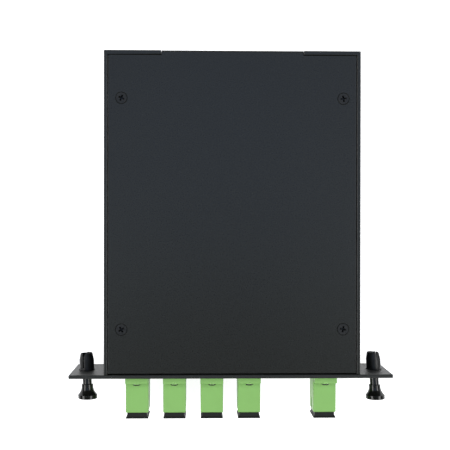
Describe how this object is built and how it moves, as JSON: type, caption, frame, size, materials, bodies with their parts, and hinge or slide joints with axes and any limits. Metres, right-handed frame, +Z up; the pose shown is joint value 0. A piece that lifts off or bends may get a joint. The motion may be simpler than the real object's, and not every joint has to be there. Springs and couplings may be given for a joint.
{
  "type": "plc fibre splitter",
  "caption": "Slide-in sheet-metal cassette with a fibre splitter inside, capped green adapters along its front panel and push-pull latches at the panel's ends.",
  "frame": {"origin": "on the plane of the underside, at the middle of the front panel's width and halfway between the panel's front face and the case's rear face", "axes": "+X along the panel to the right as seen from the front, +Y from the panel to the rear, +Z up out of the lid"},
  "size_m": [0.13, 0.1486, 0.029],
  "materials": {
    "case_paint": "fine-textured charcoal powder coat",
    "screw_black": "black oxide, satin",
    "adapter_green": "smooth moulded plastic, semi-gloss",
    "insert_plastic": "smooth moulded plastic",
    "ceramic": "polished ceramic",
    "spring_steel": "bright spring steel",
    "cap_black": "soft black plastic",
    "plug_green": "smooth moulded plastic, semi-gloss",
    "boot_green": "soft moulded boot",
    "latch_nylon": "black nylon, semi-gloss",
    "knob_black": "black moulded plastic, satin",
    "splitter_steel": "drawn stainless sleeve",
    "seal_black": "matt seal",
    "chip_glass": "bonded glass blocks",
    "clip_white": "natural nylon",
    "jacket_white": "smooth jacket",
    "jacket_blue": "smooth jacket",
    "jacket_orange": "smooth jacket",
    "jacket_green": "smooth jacket",
    "jacket_brown": "smooth jacket"
  },
  "bodies": {
    "cassette": {"tray": "case_paint", "lid": "case_paint", "lid_screws": "screw_black", "front_panel": "case_paint", "adapter_housing_output_1": "adapter_green", "adapter_insert_output_1": "insert_plastic", "alignment_sleeve_output_1": "ceramic", "adapter_clip_output_1": "spring_steel", "plug_body_output_1": "plug_green", "plug_ferrule_output_1": "ceramic", "plug_boot_output_1": "boot_green", "adapter_housing_output_2": "adapter_green", "adapter_insert_output_2": "insert_plastic", "alignment_sleeve_output_2": "ceramic", "adapter_clip_output_2": "spring_steel", "plug_body_output_2": "plug_green", "plug_ferrule_output_2": "ceramic", "plug_boot_output_2": "boot_green", "adapter_housing_output_3": "adapter_green", "adapter_insert_output_3": "insert_plastic", "alignment_sleeve_output_3": "ceramic", "adapter_clip_output_3": "spring_steel", "plug_body_output_3": "plug_green", "plug_ferrule_output_3": "ceramic", "plug_boot_output_3": "boot_green", "adapter_housing_output_4": "adapter_green", "adapter_insert_output_4": "insert_plastic", "alignment_sleeve_output_4": "ceramic", "adapter_clip_output_4": "spring_steel", "plug_body_output_4": "plug_green", "plug_ferrule_output_4": "ceramic", "plug_boot_output_4": "boot_green", "adapter_housing_input": "adapter_green", "adapter_insert_input": "insert_plastic", "alignment_sleeve_input": "ceramic", "adapter_clip_input": "spring_steel", "plug_body_input": "plug_green", "plug_ferrule_input": "ceramic", "plug_boot_input": "boot_green", "latch_grommet_left": "latch_nylon", "latch_grommet_right": "latch_nylon", "splitter_case": "splitter_steel", "splitter_seal_output": "seal_black", "splitter_seal_input": "seal_black", "waveguide_chip": "chip_glass", "splitter_holder": "clip_white", "fibre_clips": "clip_white", "input_pigtail": "jacket_white", "output_pigtail_1": "jacket_blue", "output_pigtail_2": "jacket_orange", "output_pigtail_3": "jacket_green", "output_pigtail_4": "jacket_brown"},
    "latch_left": {"latch_plunger_left": "knob_black"},
    "latch_right": {"latch_plunger_right": "knob_black"},
    "cap_output_1": {"dust_cap_output_1": "cap_black"},
    "cap_output_2": {"dust_cap_output_2": "cap_black"},
    "cap_output_3": {"dust_cap_output_3": "cap_black"},
    "cap_output_4": {"dust_cap_output_4": "cap_black"},
    "cap_input": {"dust_cap_input": "cap_black"}
  },
  "joints": [
    {"name": "latch_left_push", "type": "slide", "parent": "cassette", "child": "latch_left", "axis": [0, 1, 0], "range_m": [0, 0.00275]},
    {"name": "latch_right_push", "type": "slide", "parent": "cassette", "child": "latch_right", "axis": [0, 1, 0], "range_m": [0, 0.0033]},
    {"name": "cap_pull_output_1", "type": "slide", "parent": "cassette", "child": "cap_output_1", "axis": [0, -1, 0], "range_m": [0, 0.02]},
    {"name": "cap_pull_output_2", "type": "slide", "parent": "cassette", "child": "cap_output_2", "axis": [0, -1, 0], "range_m": [0, 0.02]},
    {"name": "cap_pull_output_3", "type": "slide", "parent": "cassette", "child": "cap_output_3", "axis": [0, -1, 0], "range_m": [0, 0.02]},
    {"name": "cap_pull_output_4", "type": "slide", "parent": "cassette", "child": "cap_output_4", "axis": [0, -1, 0], "range_m": [0, 0.02]},
    {"name": "cap_pull_input", "type": "slide", "parent": "cassette", "child": "cap_input", "axis": [0, -1, 0], "range_m": [0, 0.02]}
  ]
}
